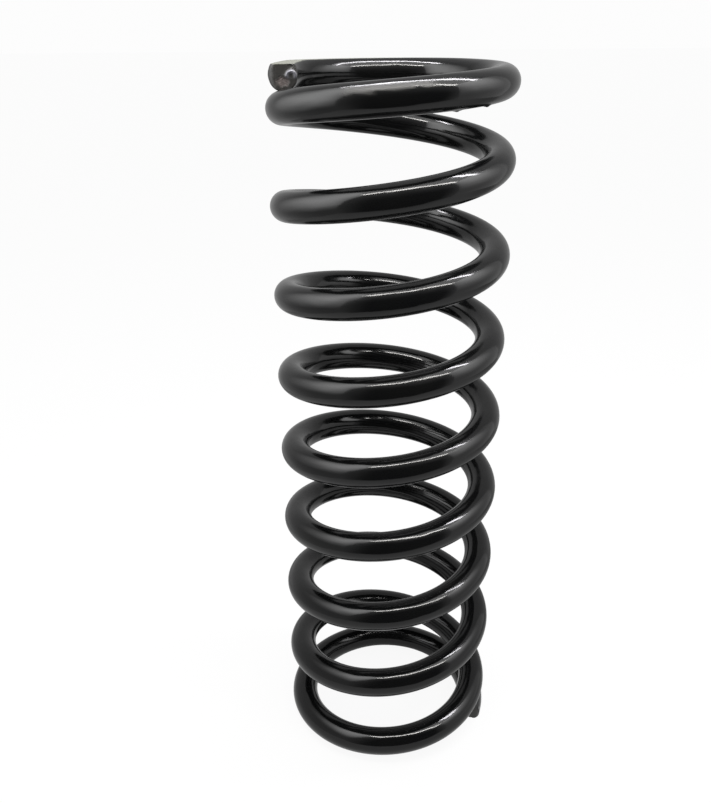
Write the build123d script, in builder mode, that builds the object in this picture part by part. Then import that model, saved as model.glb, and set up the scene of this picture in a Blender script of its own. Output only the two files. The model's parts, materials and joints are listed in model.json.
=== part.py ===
# Helical compression spring of a coil-over damper: one bar of round spring wire,
# wound right-handed, with closed and ground ends.
# Millimetres. +Z is the spring's axis, up. The origin is the centre of the lower seat.
from build123d import *

import math
import os

# Driving dimensions
wire_diameter = 10.2
inner_diameter = 60.0
free_length = 253.0
total_turns = 9.55
middle_pitch_opening = 5.0  # how much wider the pitch would be at the tips than at mid length
closed_pitch = 3.0  # pitch of the closed turn at each end, before the coils open
closed_turns = 0.20  # turns from each tip that keep the closed pitch
opening_turns = 1.15  # turns over which the closed pitch opens to the working pitch
upper_ground_share = 0.10  # share of the wire's thickness ground away at the upper tip
lower_ground_share = 0.35  # and at the lower tip, whose longer flat lets the spring stand

# The bar is divided into regions that move by themselves when the spring is compressed.
end_coil_turns = 1.5  # bar that moves as one piece with the upper seat
half_turn = 0.5
upper_tip_azimuth = 180.0  # degrees, so every half turn from the tip crosses the XZ plane

# Derived dimensions
wire_radius = wire_diameter / 2
mean_radius = (inner_diameter + wire_diameter) / 2
outer_radius = mean_radius + wire_radius
upper_tip_depth = wire_radius - upper_ground_share * wire_diameter  # centre line below the upper seat
lower_tip_height = wire_radius - lower_ground_share * wire_diameter  # centre line above the lower seat
coil_rise = free_length - upper_tip_depth - lower_tip_height
lower_coil_top = half_turn * math.floor((total_turns - end_coil_turns) / half_turn)
active_halves = round((lower_coil_top - end_coil_turns) / half_turn)

# Sampling
steps = 4000  # steps of the running sum that turns pitch into height
path_steps_per_turn = 24
overrun = 0.04  # turns by which a region is swept past its cut plane, then trimmed
trim_size = 2 * wire_diameter  # cube that trims the overrun of an end coil
trim_side = (Align.CENTER, Align.MAX, Align.CENTER)  # its side of the XZ plane


def opening_share(turn):
    """0 in the closed turn at either tip, 1 where the coils have their working pitch."""
    from_tip = min(turn, total_turns - turn)
    x = min(max((from_tip - closed_turns) / opening_turns, 0.0), 1.0)
    return x * x * (3 - 2 * x)


def extra_pitch(turn):
    """The coils stand a little wider apart towards the ends than at mid length."""
    from_middle = (turn - total_turns / 2) / (total_turns / 2)
    return middle_pitch_opening * from_middle**2


def running_sum(values):
    """Trapezium-rule integral over the bar, one value per step, starting at 0."""
    width = total_turns / steps
    sums = [0.0]
    for before, after in zip(values, values[1:]):
        sums.append(sums[-1] + (before + after) / 2 * width)
    return sums


# The pitch at mid length is whatever makes the rise of all the turns add up to the free length.
grid = [total_turns * step / steps for step in range(steps + 1)]
shares = [opening_share(turn) for turn in grid]
fixed_part = [closed_pitch * (1 - share) + extra_pitch(turn) * share for turn, share in zip(grid, shares)]
middle_pitch = (coil_rise - running_sum(fixed_part)[-1]) / running_sum(shares)[-1]
depths = running_sum([fixed + middle_pitch * share for fixed, share in zip(fixed_part, shares)])


def height(turn):
    """Height of the wire's centre line, with turns counted down from the upper tip."""
    place = min(max(turn / total_turns, 0.0), 1.0) * steps
    step = min(int(place), steps - 1)
    depth = depths[step] + (depths[step + 1] - depths[step]) * (place - step)
    return free_length - upper_tip_depth - depth


def centre_line(turn):
    """Point on the wire's centre line. Azimuth falls as the turns go down: a right-hand helix."""
    azimuth = math.radians(upper_tip_azimuth - 360.0 * turn)
    return Vector(mean_radius * math.cos(azimuth), mean_radius * math.sin(azimuth), height(turn))


def bar_path(start, end):
    """Edge along the wire's centre line between two turn counts."""
    points = math.ceil((end - start) * path_steps_per_turn)
    with BuildLine() as path:
        Spline(*[centre_line(start + (end - start) * point / points) for point in range(points + 1)])
    return path.line.edge()


def section_plane(edge):
    """Plane square to the wire at the start of an edge."""
    return Plane(origin=edge @ 0, z_dir=edge % 0)


def save(part, name):
    part.label = name
    export_step(part, f"parts/{name}.step")
    expected = math.pi * wire_radius**2
    print(f"{name:18s} volume {part.volume:9.1f} mm3, equal to {part.volume / expected:6.1f} mm of bar")


os.makedirs("parts", exist_ok=True)

# Upper end coil: the closed turn, ground flat on top, and the first half turn that opens out below it
upper_end_edge = bar_path(0, end_coil_turns + overrun)
with BuildPart() as upper_end_coil:
    with BuildSketch(section_plane(upper_end_edge)):
        Circle(wire_radius)
    sweep(path=upper_end_edge)
    split(bisect_by=Plane.XY.offset(free_length), keep=Keep.BOTTOM)
    with Locations((mean_radius, 0, height(end_coil_turns))):
        Box(trim_size, trim_size, trim_size, align=trim_side, mode=Mode.SUBTRACT)
save(upper_end_coil.part, "upper_end_coil")

# Working coils, one node per half turn. Coils are numbered down from the upper tip. Both ends of
# a half turn lie in the XZ plane, and each cut face matches its neighbour's.
for half in range(active_halves):
    start = end_coil_turns + half * half_turn
    coil_number = math.floor(start) + 1
    in_front = start % 1 >= half_turn
    half_edge = bar_path(start - overrun, start + half_turn + overrun)
    with BuildPart() as coil_half:
        with BuildSketch(section_plane(half_edge)):
            Circle(wire_radius)
        sweep(path=half_edge)
        split(bisect_by=Plane.XZ, keep=Keep.TOP if in_front else Keep.BOTTOM)
    save(coil_half.part, f"coil_{coil_number}_front" if in_front else f"coil_{coil_number}_back")

# Lower end coil: the last coils, down to the closed turn that is ground flat underneath
lower_end_edge = bar_path(lower_coil_top - overrun, total_turns)
with BuildPart() as lower_end_coil:
    with BuildSketch(section_plane(lower_end_edge)):
        Circle(wire_radius)
    sweep(path=lower_end_edge)
    split(bisect_by=Plane.XY, keep=Keep.TOP)
    with Locations((-mean_radius, 0, height(lower_coil_top))):
        Box(trim_size, trim_size, trim_size, align=trim_side, mode=Mode.SUBTRACT)
save(lower_end_coil.part, "lower_end_coil")

closed_gap = height(0) - height(1) - wire_diameter
print(f"middle pitch {middle_pitch:.2f} mm, gap under the upper tip {closed_gap:.2f} mm")
print(f"outside diameter {2 * outer_radius:.1f} mm, bar length {bar_path(0, total_turns).length:.0f} mm")
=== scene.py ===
# Compression coil spring of a coil-over damper, standing on its ground lower end.
# Everything is in metres, in the frame of the CAD model: +Z is the spring's axis, up.
import json
import math

import bpy
import numpy as np
from mathutils import Matrix, Vector


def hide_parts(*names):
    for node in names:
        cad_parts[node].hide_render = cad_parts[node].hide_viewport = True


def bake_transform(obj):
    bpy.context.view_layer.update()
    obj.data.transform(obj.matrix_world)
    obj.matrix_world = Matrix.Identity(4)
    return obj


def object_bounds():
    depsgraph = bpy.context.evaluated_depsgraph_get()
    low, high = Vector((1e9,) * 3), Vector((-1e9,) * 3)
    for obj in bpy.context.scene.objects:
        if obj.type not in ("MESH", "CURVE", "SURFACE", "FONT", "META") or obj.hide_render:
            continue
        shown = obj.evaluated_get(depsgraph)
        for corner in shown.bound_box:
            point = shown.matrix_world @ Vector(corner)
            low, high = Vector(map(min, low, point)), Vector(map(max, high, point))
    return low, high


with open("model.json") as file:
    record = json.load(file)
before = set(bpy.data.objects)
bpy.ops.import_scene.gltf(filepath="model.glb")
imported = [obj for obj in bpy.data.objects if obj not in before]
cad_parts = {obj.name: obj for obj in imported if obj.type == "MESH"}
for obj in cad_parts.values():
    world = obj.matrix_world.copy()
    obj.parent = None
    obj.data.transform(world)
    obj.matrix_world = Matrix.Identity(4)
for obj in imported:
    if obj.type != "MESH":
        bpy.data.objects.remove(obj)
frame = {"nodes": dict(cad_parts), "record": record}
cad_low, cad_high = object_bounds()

MM = 0.001

# Sizes read from the frame
record = frame["record"]
mounts = {mount["name"]: mount for mount in record["mounts"]}
free_length = cad_high.z - cad_low.z
outer_radius = (cad_high.x - cad_low.x) / 2
inner_radius = mounts["upper_pilot"]["dims"]["r_mm"] * MM
wire_radius = (outer_radius - inner_radius) / 2
mean_radius = (outer_radius + inner_radius) / 2

# How the bar is wound, as in the CAD model. Turns are counted down from the upper tip.
total_turns = 9.55
closed_pitch = 3.0 * MM
closed_turns = 0.20
opening_turns = 1.15
middle_pitch_opening = 5.0 * MM
upper_ground_share = 0.10
lower_ground_share = 0.35
upper_tip_azimuth = math.pi
end_coil_turns = 1.5  # only end faces within this many turns of the upper tip get the torn and curl marks

# As made: what the real bar shows and the CAD model leaves out
tip_fall = 0.9 * MM  # how much lower the upper flat lies at its tip than further back
tip_slope_length = 13 * MM
coat_edge = 0.10 * MM  # how far the coat rounds the edge of a ground face
edge_radius = 0.3 * MM  # between the bar's side and its end faces
rolled_radius = 2.3 * MM  # added to it on the outer side, where the shear rolled the edge over
runs = ((0.653, -1.50), (0.601, -1.35))  # runs of paint: turn count, and angle round the section
run_height = 0.45 * MM
run_length = 1.1 * MM
run_width = 0.6 * MM
matte_start = 0.683  # dull patch of the coat on the first coil, in turns
matte_end = 0.797
matte_low = 0.30  # and in angle round the section
matte_high = 0.93
matte_slant = 1.8  # how much the patch narrows, in radians a turn

# Upper end face, in millimetres outwards and upwards from the middle of the bar
torn_centre = (-0.2, -2.1)  # where the last of the bar tore off instead of being cut
torn_shape = (1.15, 0.8)
torn_radius = 2.2
torn_depth = 0.30
torn_grain = 0.16
burr_centre = (-3.0, -0.4)  # curl of metal that the shear left, round this point
burr_radius = 1.4
burr_width = 0.48
burr_height = 0.65
notch_centre = (-3.3, 2.7)  # dent above the curl
notch_size = (1.1, 0.7)
notch_depth = 0.45
groove_centre = (2.7, 0)  # faint upright groove beside the rolled edge
groove_size = (0.6, 6)
groove_depth = 0.07

# Lower end face
lower_groove_centre = (2.6, 0)
lower_groove_size = (0.5, 6)
lower_groove_depth = 0.20

# Relief of the paint, from long waves to orange peel: grains to the metre across the bar, detail, how
# many times longer the grains are along the bar, and depth
paint_relief = (
    (140, 2, 2.5, 0.34 * MM),
    (600, 2, 14, 0.030 * MM),
    (280, 1, 2, 0.022 * MM),
    (1700, 2, 1, 0.004 * MM),
)

# Mesh of the bar
winding_steps = 4000
rings_per_turn = 110
columns = 88
face_rows = 14
edge_rows = 5
side_start = 2.0 * MM  # along the bar, from an end face to the first plain ring
turn_length = 2 * math.pi * mean_radius

# Light tent: white walls and roof round the spring, two lamp strips under the roof, dark opening in front
tent_left = -0.20
tent_right = 0.42
tent_front = -0.22
tent_back = 0.30
tent_roof = 0.64
front_lamp = -0.19
back_lamp = 0.05
lamp_width = 0.032
front_lamp_power = 2.9
back_lamp_power = 3.4
warm_white = (1.0, 0.98, 0.95)
cool_white = (0.98, 0.96, 1.0)
surroundings = 0.98
floor_size = 40


def opening_share(turn):
    """0 in the closed turn at either tip, 1 where the coils have their working pitch."""
    from_tip = np.minimum(turn, total_turns - turn)
    x = np.clip((from_tip - closed_turns) / opening_turns, 0, 1)
    return x * x * (3 - 2 * x)


def running_sum(values, width):
    return np.concatenate([[0], np.cumsum((values[1:] + values[:-1]) / 2 * width)])


def winding():
    """Evenly spaced turn counts, and the height and the pitch of the centre line at each."""
    turns = np.linspace(0, total_turns, winding_steps + 1)
    width = turns[1]
    share = opening_share(turns)
    extra = middle_pitch_opening * (2 * turns / total_turns - 1) ** 2
    fixed_part = closed_pitch * (1 - share) + extra * share
    upper_tip_depth = wire_radius * (1 - 2 * upper_ground_share)
    lower_tip_height = wire_radius * (1 - 2 * lower_ground_share)
    rise = free_length - upper_tip_depth - lower_tip_height
    middle_pitch = (rise - running_sum(fixed_part, width)[-1]) / running_sum(share, width)[-1]
    pitch = fixed_part + middle_pitch * share
    return turns, free_length - upper_tip_depth - running_sum(pitch, width), pitch


def bar_axes(turn):
    """Centre, outward and upward unit vectors of the bar at each turn count."""
    grid_turns, heights, pitch = winding()
    azimuth = upper_tip_azimuth - 2 * math.pi * turn
    slope = np.interp(turn, grid_turns, pitch) / turn_length
    outward = np.stack([np.cos(azimuth), np.sin(azimuth), 0 * azimuth], -1)
    along = np.stack([np.sin(azimuth), -np.cos(azimuth), -slope], -1)
    along /= np.linalg.norm(along, axis=-1)[..., None]
    centre = outward * mean_radius
    centre[..., 2] = np.interp(turn, grid_turns, heights)
    return centre, outward, np.cross(along, outward)


def spot(u, v, centre, size):
    """1 at a place on an end face, fading away from it. All in millimetres."""
    return np.exp(-(((u - centre[0]) / size[0]) ** 2) - ((v - centre[1]) / size[1]) ** 2)


def grain(u, v, across, up):
    """Fine waves on an end face, from -1 to 1. across and up say how close together they are."""
    return np.sin(across * u + 2.1 * v) * np.sin(up * v - 3.3 * u + 1.0)


def broken(u, v):
    """1 on the torn part of the upper end face, rough and barely coated, with a ragged edge."""
    ragged = 0.20 * np.sin(3.1 * u + 0.7) + 0.16 * np.sin(4.3 * v - 1.9 * u)
    away = np.hypot((u - torn_centre[0]) / torn_shape[0], (v - torn_centre[1]) / torn_shape[1])
    return np.clip(torn_radius - away + ragged, 0, 1)


def burr(u, v):
    """1 on the curl of metal on the inner side of the upper end face, like an upturned U."""
    reach = np.hypot(u - burr_centre[0], v - burr_centre[1])
    return np.exp(-(((reach - burr_radius) / burr_width) ** 2)) * np.clip(burr_radius + v, 0, 1)


def upper_face(u, v):
    """How far the upper end face stands proud, from its outward and upward coordinates in metres."""
    u, v = u / MM, v / MM
    waves = grain(u, v, across=7.3, up=5.9)
    notch = notch_depth * spot(u, v, notch_centre, notch_size)
    groove = groove_depth * spot(u, v, groove_centre, groove_size)
    torn = broken(u, v) * (torn_depth - torn_grain * waves)
    return MM * (burr_height * burr(u, v) - notch - groove - torn + 0.02 * waves)


def lower_face(u, v):
    """The same for the lower end face, which was cut clean."""
    u, v = u / MM, v / MM
    groove = lower_groove_depth * spot(u, v, lower_groove_centre, lower_groove_size)
    return MM * (0.03 * grain(u, v, across=5.3, up=4.9) - groove)


def end_rows(angle, face):
    """Rows of vertices from the middle of an end face to the bar's side.

    Returns how far each lies behind the face, its radius, and how much it belongs to the face.
    """
    edge = edge_radius + rolled_radius * np.clip(np.cos(angle), 0, 1) ** 2
    share = np.linspace(0.04, 1, face_rows)[:, None]
    lean = np.linspace(math.pi / 2, 0, edge_rows + 1)[1:, None]
    radius = np.concatenate([share * (wire_radius - edge), wire_radius - edge * (1 - np.cos(lean))])
    cut = np.concatenate([0 * share + 1, np.sin(lean)]) * np.ones(columns)
    behind = np.concatenate([0 * share * edge, edge * (1 - np.sin(lean))])
    return behind - cut * face(radius * np.cos(angle), radius * np.sin(angle)), radius, cut


def side_turns():
    """Turn counts of the plain rings, closer together where a run of paint has to show."""
    first = side_start / turn_length
    evenly = np.linspace(first, total_turns - first, round(total_turns * rings_per_turn))
    close = [turn + np.linspace(-2, 2, 8) * run_length / turn_length for turn, _ in runs]
    return np.unique(np.concatenate([evenly, *close]))


def bar_grid():
    """Turn count, angle, radius and share of end face of every vertex, in rows round the bar."""
    angle = np.arange(columns) * 2 * math.pi / columns
    upper_behind, upper_radius, upper_cut = end_rows(angle, upper_face)
    lower_behind, lower_radius, lower_cut = end_rows(angle, lower_face)
    side = side_turns()[:, None] * np.ones(columns)
    radius = wire_radius + 0 * side
    for run_turn, run_angle in runs:
        ahead = (side - run_turn) * turn_length / run_length
        around = np.angle(np.exp(1j * (angle - run_angle))) * wire_radius / run_width
        radius += run_height * np.exp(-(ahead**2) - around**2)
    turn = np.concatenate([upper_behind / turn_length, side, total_turns - lower_behind[::-1] / turn_length])
    radius = np.concatenate([upper_radius, radius, lower_radius[::-1]])
    cut = np.concatenate([upper_cut, 0 * side, lower_cut[::-1]])
    return turn, angle + 0 * turn, radius, cut


def grind(points):
    """Grind both ends flat, with an edge that the coat rounds. Returns where the bar is ground."""
    back = np.clip(points[..., 1] / tip_slope_length, 0, 1)
    above = points[..., 2] - (free_length - tip_fall * (1 - back))
    below = -points[..., 2]
    points[..., 2] -= coat_edge * np.logaddexp(0, above / coat_edge)
    points[..., 2] += coat_edge * np.logaddexp(0, below / coat_edge)
    return np.clip(np.maximum(above, below) / coat_edge, 0, 1)


def matte_patch(turn, angle):
    """1 in the dull patch of the coat on the first coil, whose lower edge is ragged."""
    ragged = 0.07 * np.sin(170 * turn) + 0.05 * np.sin(417 * turn + 1)
    low = matte_low + ragged + matte_slant * (matte_end - turn)
    angle = np.angle(np.exp(1j * angle))  # between -pi and pi
    # The factors say how sharp the edges of the patch are.
    lengthwise = np.minimum((turn - matte_start) * 60, (matte_end - turn) * 200)
    crosswise = np.minimum(angle - low, matte_high - angle) * 12
    return np.clip(np.minimum(lengthwise, crosswise), 0, 1)


def make_mesh(name, points, faces):
    mesh = bpy.data.meshes.new(name)
    mesh.from_pydata(points.tolist(), [], faces)
    mesh.validate()
    mesh.shade_smooth()
    piece = bpy.data.objects.new(name, mesh)
    bpy.context.scene.collection.objects.link(piece)
    return piece


def add_mask(piece, name, values):
    """A number from 0 to 1 at every vertex, for the material to read."""
    attribute = piece.data.attributes.new(name, "FLOAT", "POINT")
    attribute.data.foreach_set("value", values.reshape(-1).astype(np.float32))


def tube_faces(rings):
    """Quads between neighbouring rings of vertices, and one face over each end."""
    faces = []
    for ring in range(rings - 1):
        for column in range(columns):
            here = ring * columns + column
            beside = ring * columns + (column + 1) % columns
            faces.append((here, beside, beside + columns, here + columns))
    faces.append(tuple(reversed(range(columns))))
    faces.append(tuple(range((rings - 1) * columns, rings * columns)))
    return faces


def bar():
    """The whole bar as one closed mesh: round wire on its helix, with its end faces and ground flats."""
    turn, angle, radius, cut = bar_grid()
    centre, outward, upward = bar_axes(turn)
    u, v = radius * np.cos(angle), radius * np.sin(angle)
    points = centre + u[..., None] * outward + v[..., None] * upward
    ground = grind(points)
    straight = np.stack([turn * turn_length, u, v], -1)
    piece = make_mesh("spring_bar", points.reshape(-1, 3), tube_faces(len(turn)))
    upper_cut = cut * (turn < end_coil_turns)
    place = piece.data.attributes.new("straight_place", "FLOAT_VECTOR", "POINT")
    place.data.foreach_set("vector", straight.reshape(-1).astype(np.float32))
    add_mask(piece, "ground", ground)
    add_mask(piece, "cut", cut)
    add_mask(piece, "broken", upper_cut * broken(u / MM, v / MM))
    add_mask(piece, "burr", upper_cut * burr(u / MM, v / MM))
    add_mask(piece, "matte", matte_patch(turn, angle) * (1 - cut))
    return piece, turn.reshape(-1)


def let_it_compress(piece):
    """Bakes the bar's transform into its mesh.
    """
    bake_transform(piece)


def link(material, source, target):
    material.node_tree.links.new(source, target)


def new_node(material, kind, values=()):
    """A shader node with some of its sockets set, from pairs of socket name and number, colour or source."""
    node = material.node_tree.nodes.new("ShaderNode" + kind)
    for name, value in values:
        if isinstance(value, bpy.types.NodeSocket):
            link(material, value, node.inputs[name])
        else:
            node.inputs[name].default_value = value
    return node


def noise(material, scale, detail=2, stretch=1):
    """Noise on the bar as if it were straight, with about scale grains to the metre across it.

    Along the bar each grain is stretch times as long.
    """
    place = new_node(material, "Attribute")
    place.attribute_name = "straight_place"
    stretched = [("Vector", place.outputs["Vector"]), ("Scale", (1 / stretch, 1, 1))]
    mapping = new_node(material, "Mapping", stretched)
    texture = [("Vector", mapping.outputs[0]), ("Scale", scale), ("Detail", detail)]
    return new_node(material, "TexNoise", texture).outputs["Fac"]


def mask(material, name):
    attribute = new_node(material, "Attribute")
    attribute.attribute_name = name
    return attribute.outputs["Fac"]


def between(material, factor, low, high):
    """A number that goes from low to high with the factor."""
    pairs = [("Value", factor), ("To Min", low), ("To Max", high)]
    return new_node(material, "MapRange", pairs).outputs["Result"]


def colour_between(material, factor, low, high):
    mix = material.node_tree.nodes.new("ShaderNodeMix")
    mix.data_type = "RGBA"
    link(material, factor, mix.inputs["Factor"])
    for name, value in (("A", low), ("B", high)):
        socket = next(item for item in mix.inputs if item.name == name and item.type == "RGBA")
        if isinstance(value, bpy.types.NodeSocket):
            link(material, value, socket)
        else:
            socket.default_value = (*value, 1)
    return next(item for item in mix.outputs if item.type == "RGBA")


def bump(material, height, depth, amount=1.0, normal=None):
    """Relief of the given depth in metres, where amount is how much of it shows."""
    values = [("Height", height), ("Distance", depth), ("Strength", amount)]
    if normal:
        values.append(("Normal", normal))
    return new_node(material, "Bump", values).outputs["Normal"]


def black_coat():
    """Glossy black paint: a little orange peel, duller and thinner on ground, cut and torn steel; the
    lighter grey of the ground flats is partly a painted reflection.
    """
    material = bpy.data.materials.new("black_coat")
    material.use_nodes = True
    shader = material.node_tree.nodes["Principled BSDF"]
    shader.inputs["IOR"].default_value = 1.40
    ground, cut, matte = mask(material, "ground"), mask(material, "cut"), mask(material, "matte")
    torn, curl = mask(material, "broken"), mask(material, "burr")

    clouds = noise(material, 70, detail=3)
    stains = noise(material, 900, detail=4)
    paint = colour_between(material, clouds, (0.0016, 0.0017, 0.0022), (0.0036, 0.0037, 0.0034))
    rusty = colour_between(material, stains, (0.030, 0.024, 0.022), (0.17, 0.14, 0.135))
    dull = (0.020, 0.0195, 0.018)
    thin = (0.028, 0.027, 0.025)
    # Ground flats: lighter grey, partly steel under a thin coat and partly a painted reflection of the
    # bright wall seen at a grazing angle
    ground_grey_and_painted_sheen = (0.15, 0.155, 0.125)
    silvery = (0.21, 0.21, 0.235)
    colour = paint
    for where, tint in ((matte, dull), (cut, thin), (ground, ground_grey_and_painted_sheen), (torn, rusty), (curl, silvery)):
        colour = colour_between(material, where, colour, tint)
    link(material, colour, shader.inputs["Base Color"])
    link(material, between(material, curl, 0.0, 0.6), shader.inputs["Metallic"])

    roughness = between(material, noise(material, 150, detail=4, stretch=2.5), 0.02, 0.22)
    for where, level in ((matte, 0.36), (ground, 0.22), (cut, 0.34), (torn, 0.55), (curl, 0.30)):
        roughness = between(material, where, roughness, level)
    link(material, roughness, shader.inputs["Roughness"])

    normal = None
    for scale, detail, stretch, depth in paint_relief:
        normal = bump(material, noise(material, scale, detail, stretch), depth, normal=normal)
    normal = bump(material, noise(material, 2600, detail=3, stretch=0.2), 0.008 * MM, ground, normal)
    normal = bump(material, stains, 0.09 * MM, cut, normal)
    link(material, normal, shader.inputs["Normal"])
    return material


def camera():
    """The camera stands in front of the spring, a little above its top, and looks down."""
    eye = Vector((0.01813, -0.28373, 0.25942))
    forward = Vector((-0.0986, 0.9128, -0.3963)).normalized()
    roll = -0.00996
    level_right = forward.cross(Vector((0, 0, 1))).normalized()
    level_up = level_right.cross(forward)
    right = math.cos(roll) * level_right + math.sin(roll) * level_up
    up = right.cross(forward)
    data = bpy.data.cameras.new("camera")
    data.sensor_width = 36.0
    data.lens = 37.75
    data.clip_start = 0.01
    holder = bpy.data.objects.new("camera", data)
    holder.matrix_world = Matrix((right, up, -forward)).transposed().to_4x4()
    holder.location = eye
    bpy.context.scene.collection.objects.link(holder)
    bpy.context.scene.camera = holder


def glow(name, base, peak, along="Y", centre=0, hold=0, reach=1, rise=None):
    """Emission for a wall of the light tent: from peak beside the lamps to base away from them.

    along is the axis (X, Y or Z) on which the light stays at its peak within hold of centre and has
    faded at reach. rise, if given, is the pair of heights between which base grows to peak.
    """
    material = bpy.data.materials.new(name)
    material.use_nodes = True
    material.node_tree.nodes.clear()
    place = new_node(material, "TexCoord").outputs["Object"]
    split = new_node(material, "SeparateXYZ", [("Vector", place)]).outputs
    offset = new_node(material, "Math", [(0, split[along]), (1, centre)])
    offset.operation = "SUBTRACT"
    distance = new_node(material, "Math", [(0, offset.outputs[0])])
    distance.operation = "ABSOLUTE"
    strength = smooth_step(material, distance.outputs[0], reach, hold)
    if rise:
        both = new_node(material, "Math", [(0, strength), (1, smooth_step(material, split["Z"], *rise))])
        both.operation = "MULTIPLY"
        strength = both.outputs[0]
    emission = new_node(material, "Emission", [("Strength", between(material, strength, base, peak))])
    output = new_node(material, "OutputMaterial", [("Surface", emission.outputs[0])])
    output.is_active_output = True
    return material


def smooth_step(material, value, start, end):
    """0 at start and 1 at end."""
    node = new_node(material, "MapRange", [("Value", value), ("From Min", start), ("From Max", end)])
    node.interpolation_type = "SMOOTHSTEP"
    return node.outputs["Result"]


def tent_wall(name, corners, **light):
    """One wall of the tent, lit as glow says. Only reflections see it, so it hides nothing in any view."""
    wall = make_mesh(name, np.array(corners), [(0, 1, 2, 3)])
    wall.data.materials.append(glow(name, **light))
    wall.visible_camera = False
    wall.visible_diffuse = False
    wall.visible_shadow = False


def lamp(name, y, power, colour):
    """One of the two light strips under the roof of the tent, from its left to its right wall."""
    data = bpy.data.lights.new(name, "AREA")
    data.shape = "RECTANGLE"
    data.size = tent_right - tent_left
    data.size_y = lamp_width
    data.energy = power
    data.color = colour
    strip = bpy.data.objects.new(name, data)
    strip.location = ((tent_left + tent_right) / 2, y, tent_roof - 0.01)
    strip.visible_camera = False
    bpy.context.scene.collection.objects.link(strip)


def pale_floor():
    floor_material = bpy.data.materials.new("pale_floor")
    floor_material.use_nodes = True
    shader = floor_material.node_tree.nodes["Principled BSDF"]
    shader.inputs["Base Color"].default_value = (0.05, 0.05, 0.05, 1)
    shader.inputs["Roughness"].default_value = 1
    shader.inputs["Specular IOR Level"].default_value = 0
    shader.inputs["Emission Color"].default_value = (1, 1, 1, 1)
    shader.inputs["Emission Strength"].default_value = 0.92
    return floor_material


def tent():
    middle = (front_lamp + back_lamp) / 2
    left, right, front, back, roof = tent_left, tent_right, tent_front, tent_back, tent_roof
    tent_wall(
        "tent_left",
        [(left, front, 0), (left, back, 0), (left, back, roof), (left, front, roof)],
        base=0.50, peak=5.6, centre=middle - 0.02, reach=0.22, rise=(0.12, 0.34),
    )
    tent_wall(
        "tent_right",
        [(right, front, 0), (right, back, 0), (right, back, roof), (right, front, roof)],
        base=0.85, peak=6.0, centre=middle + 0.02, reach=0.30, rise=(0.14, 0.62),
    )
    tent_wall(
        "tent_roof",
        [(left, front, roof), (right, front, roof), (right, back, roof), (left, back, roof)],
        base=0.6, peak=3.0, centre=middle, reach=0.22,
    )
    tent_wall(
        "tent_opening",
        [(left, front, 0), (right, front, 0), (right, front, roof), (left, front, roof)],
        base=0.50, peak=0.05, along="X", centre=0.09, hold=0.14, reach=0.30, rise=(0.50, 0.26),
    )
    tent_wall(
        "tent_back",
        [(left, back, 0), (right, back, 0), (right, back, roof), (left, back, roof)],
        base=0.48, peak=0.48,
    )
    tent_wall(
        "tent_floor",
        [(left, front, -MM), (right, front, -MM), (right, back, -MM), (left, back, -MM)],
        base=0.30, peak=0.80, centre=-0.12, reach=0.30,
    )


def studio():
    """White surroundings and floor, the light tent and its two lamps."""
    scene = bpy.context.scene
    scene.view_settings.view_transform = "Standard"
    world = bpy.data.worlds.new("studio")
    world.use_nodes = True
    world.node_tree.nodes["Background"].inputs["Color"].default_value = (surroundings,) * 3 + (1,)
    scene.world = world
    bpy.ops.mesh.primitive_plane_add(size=floor_size)
    floor = bpy.context.object
    floor.name = "floor"
    floor.data.materials.append(pale_floor())
    floor.visible_glossy = False
    tent()
    lamp("front_lamp", front_lamp, front_lamp_power, warm_white)
    lamp("back_lamp", back_lamp, back_lamp_power, cool_white)


spring_bar, bar_turns = bar()
coat = black_coat()
spring_bar.data.materials.append(coat)
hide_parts(*frame["nodes"])
let_it_compress(spring_bar)
studio()
camera()
